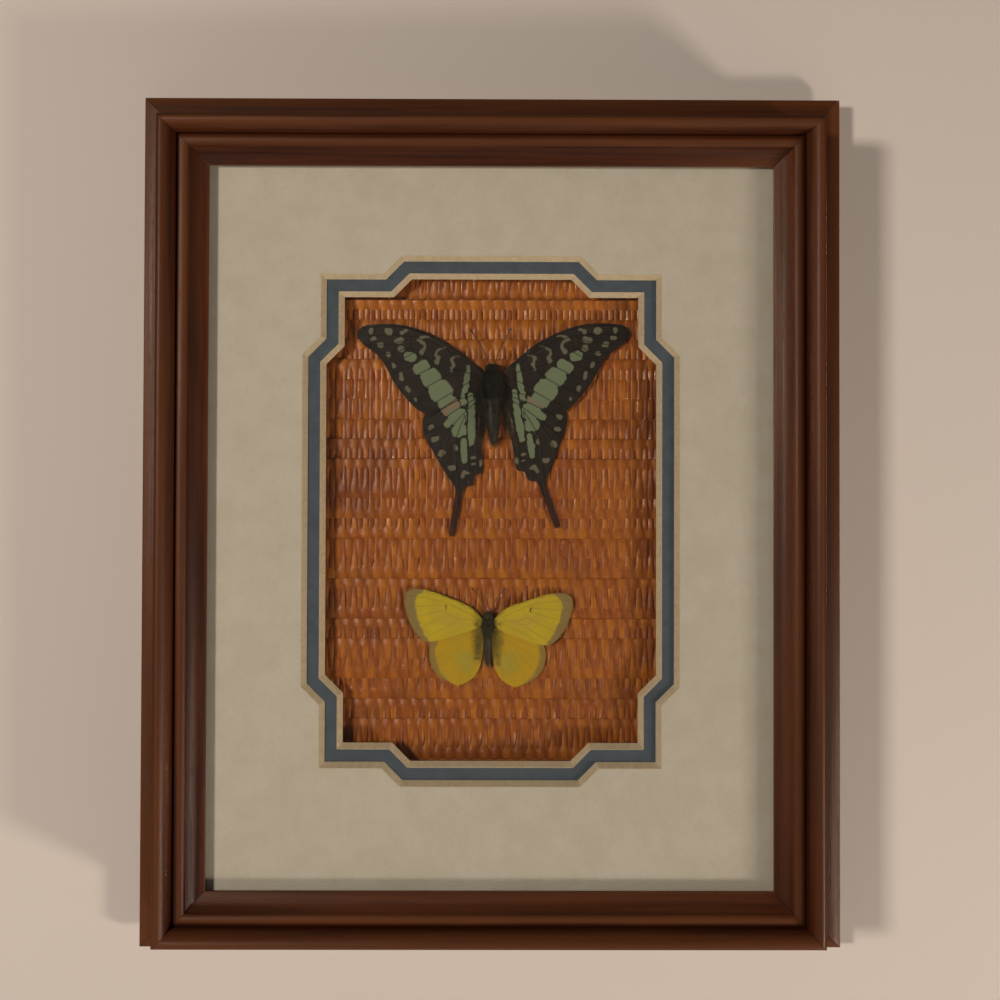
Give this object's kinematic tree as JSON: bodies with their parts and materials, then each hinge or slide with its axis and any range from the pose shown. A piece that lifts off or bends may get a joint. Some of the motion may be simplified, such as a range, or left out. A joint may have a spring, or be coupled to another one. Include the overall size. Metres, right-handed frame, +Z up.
{
  "type": "framed butterfly specimen",
  "caption": "Wall-hung wooden frame with a double mat, a woven fibre panel and two spread dried butterflies behind glass.",
  "frame": {"origin": "middle notch of the sawtooth hanger, where it bears on the wall nail", "axes": "+Z up, +X to the right seen from the front, front faces -Y and the wall is at +Y"},
  "size_m": [0.208, 0.0305, 0.2525],
  "materials": {
    "stained_wood": "red-brown mahogany stain under satin varnish",
    "glass": "clear float glass",
    "cream_mat": "matte cream mat board with pale bevel",
    "blue_mat": "matte slate blue mat board with pale bevel",
    "foam_board": "white foam-centred board",
    "woven_fibre": "glossy orange-brown woven plant fibre",
    "hardboard": "raw brown hardboard",
    "zinc_steel": "zinc-plated sheet steel",
    "kraft_paper": "brown kraft paper",
    "brassed_steel": "brass-plated stamped steel",
    "rubber": "matte black rubber",
    "swordtail_wing": "black-brown scaled wing with pale green patches",
    "sulphur_wing": "yellow scaled wing with faded grey-brown border",
    "insect_body": "dark chitin with short hair"
  },
  "bodies": {
    "root": {"rail_top": "stained_wood", "rail_bottom": "stained_wood", "stile_left": "stained_wood", "stile_right": "stained_wood", "glass": "glass", "top_mat": "cream_mat", "under_mat": "blue_mat", "spacer_top": "foam_board", "spacer_bottom": "foam_board", "spacer_left": "foam_board", "spacer_right": "foam_board", "woven_panel": "woven_fibre", "backing_board": "hardboard", "point_top_1": "zinc_steel", "point_top_2": "zinc_steel", "point_right_1": "zinc_steel", "point_right_2": "zinc_steel", "point_bottom_1": "zinc_steel", "point_bottom_2": "zinc_steel", "point_left_1": "zinc_steel", "point_left_2": "zinc_steel", "dust_cover": "kraft_paper", "sawtooth_hanger": "brassed_steel", "hanger_nail_left": "zinc_steel", "hanger_nail_right": "zinc_steel", "wall_bumper_left": "rubber", "wall_bumper_right": "rubber", "swordtail_body": "insect_body", "swordtail_forewing_left": "swordtail_wing", "swordtail_forewing_right": "swordtail_wing", "swordtail_hindwing_left": "swordtail_wing", "swordtail_hindwing_right": "swordtail_wing", "swordtail_feeler_left": "insect_body", "swordtail_feeler_right": "insect_body", "sulphur_body": "insect_body", "sulphur_forewing_left": "sulphur_wing", "sulphur_forewing_right": "sulphur_wing", "sulphur_hindwing_left": "sulphur_wing", "sulphur_hindwing_right": "sulphur_wing", "sulphur_feeler_left": "insect_body", "sulphur_feeler_right": "insect_body"}
  },
  "joints": []
}
